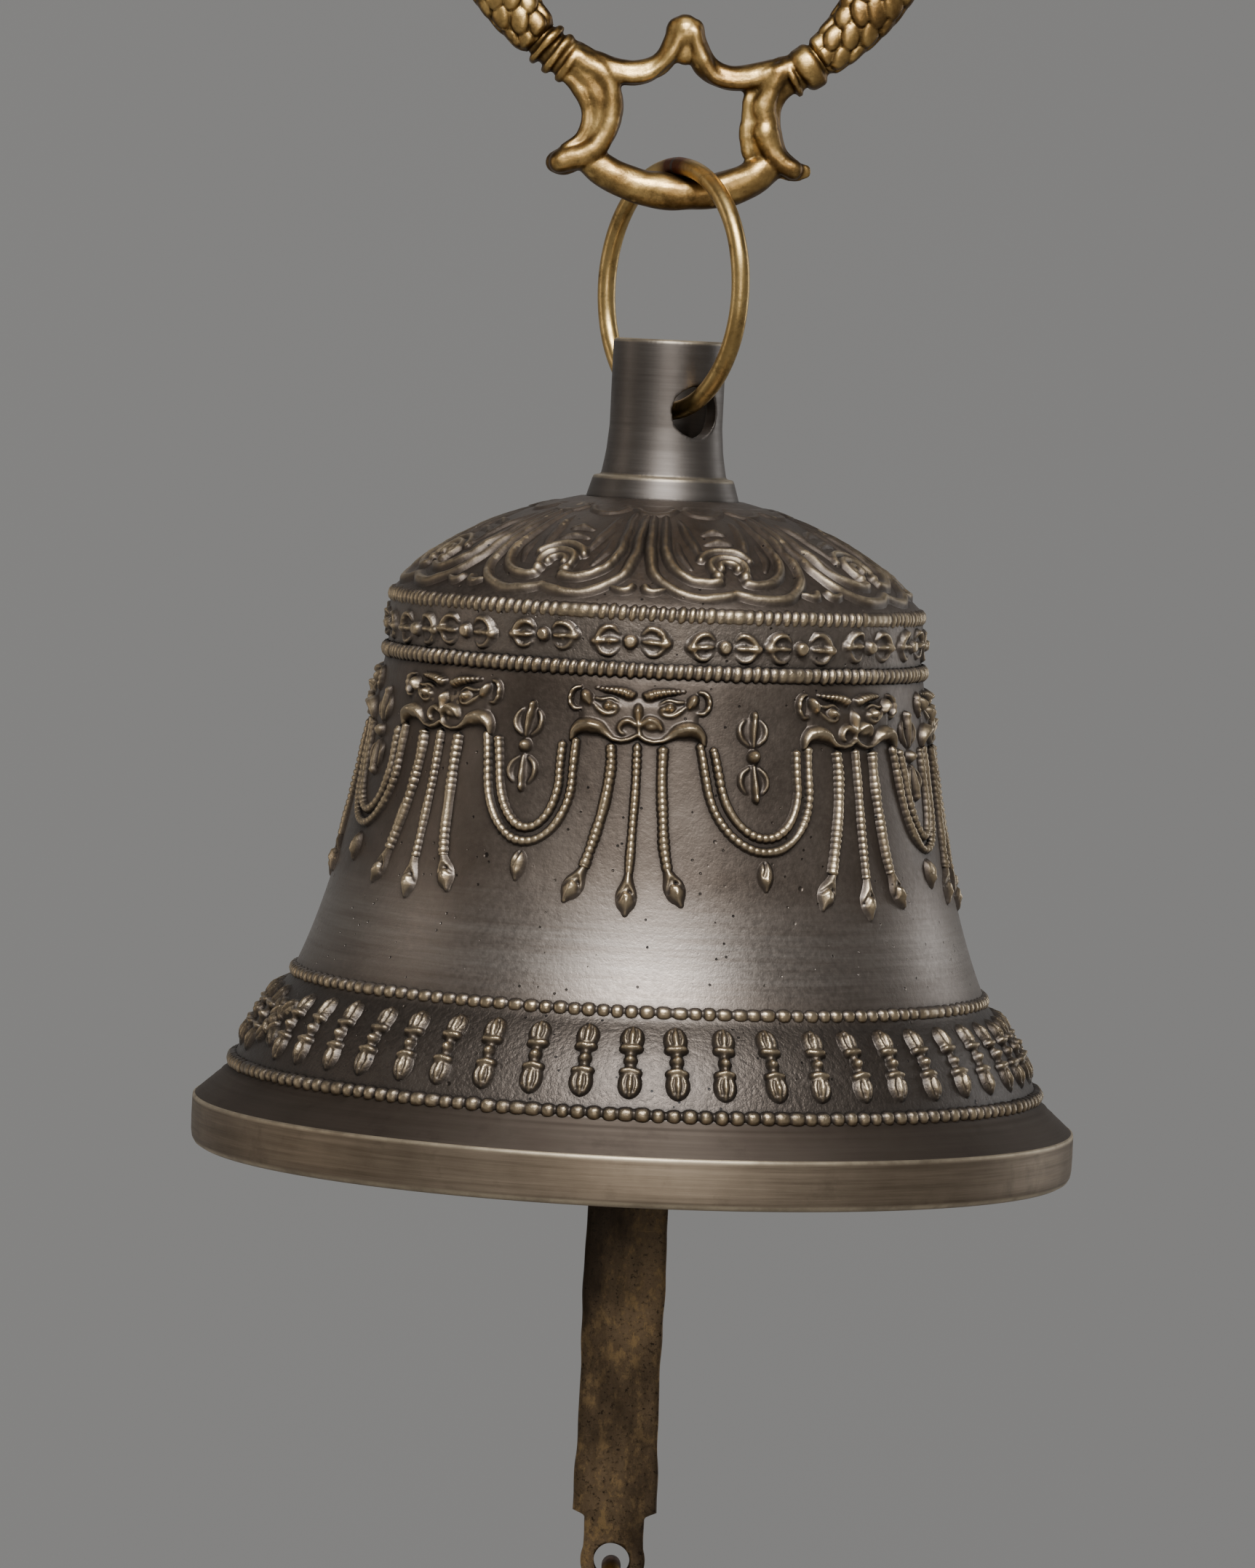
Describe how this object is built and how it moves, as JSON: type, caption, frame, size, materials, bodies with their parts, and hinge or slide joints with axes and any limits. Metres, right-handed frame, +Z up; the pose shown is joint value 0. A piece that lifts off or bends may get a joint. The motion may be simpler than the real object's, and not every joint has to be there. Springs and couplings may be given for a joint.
{
  "type": "temple bell",
  "caption": "Hand-cast temple bell hung by a wire ring from a double-fish hanger, with a flat clapper bar, striking ball and pull ring; it rings when swung or pulled.",
  "frame": {"origin": "centre of the hanging eye's bore, at mid length", "axes": "+Z up along the hanging bell's axis, +Y along the hanging eye's bore towards the back, +X to the right of the front view; the fish hanger lies in the XZ plane"},
  "size_m": [0.1522, 0.1522, 0.3758],
  "materials": {
    "bell_bronze": "dark patinated cast bell bronze, worn to bright brass on the raised ornament, brushed at the rim",
    "neck_bronze": "turned and brushed, grey-brown patina",
    "golden_brass": "cast and drawn brass, satin, with dark residue in the recesses",
    "clapper_bronze": "hammered flat bar and ball with a mottled brown patina",
    "steel": "plain steel eye bolt, nut and washer, dulled"
  },
  "bodies": {
    "hanger": {"fish_hanger": "golden_brass"},
    "ring": {"link_ring": "golden_brass"},
    "bell": {"bell_shell": "bell_bronze", "bell_neck": "neck_bronze", "eye_bolt": "steel", "crown_washer": "steel", "crown_nut": "steel"},
    "clapper_chain": {"clapper_link": "golden_brass"},
    "clapper": {"clapper_bar": "clapper_bronze", "clapper_ball": "clapper_bronze", "ball_rivet": "golden_brass"},
    "pull": {"pull_ring": "golden_brass"}
  },
  "joints": [
    {"name": "link_ring_swing", "type": "hinge", "parent": "hanger", "child": "ring", "pos_m": [0, 0, -0.095], "axis": [1, 0, 0], "range_deg": [-50, 50]},
    {"name": "bell_swing", "type": "hinge", "parent": "ring", "child": "bell", "pos_m": [0, 0, -0.13225], "axis": [0.5446, -0.8387, 0], "range_deg": [-60, 60]},
    {"name": "clapper_link_swing", "type": "hinge", "parent": "bell", "child": "clapper_chain", "pos_m": [0, 0, -0.1634], "axis": [1, 0, 0], "range_deg": [-10, 10]},
    {"name": "clapper_swing", "type": "hinge", "parent": "clapper_chain", "child": "clapper", "pos_m": [0, 0, -0.17295], "axis": [0, 1, 0], "range_deg": [-28, 28]},
    {"name": "pull_ring_swing", "type": "hinge", "parent": "clapper", "child": "pull", "pos_m": [0, 0, -0.3326], "axis": [0, 1, 0], "range_deg": [-80, 80]}
  ]
}
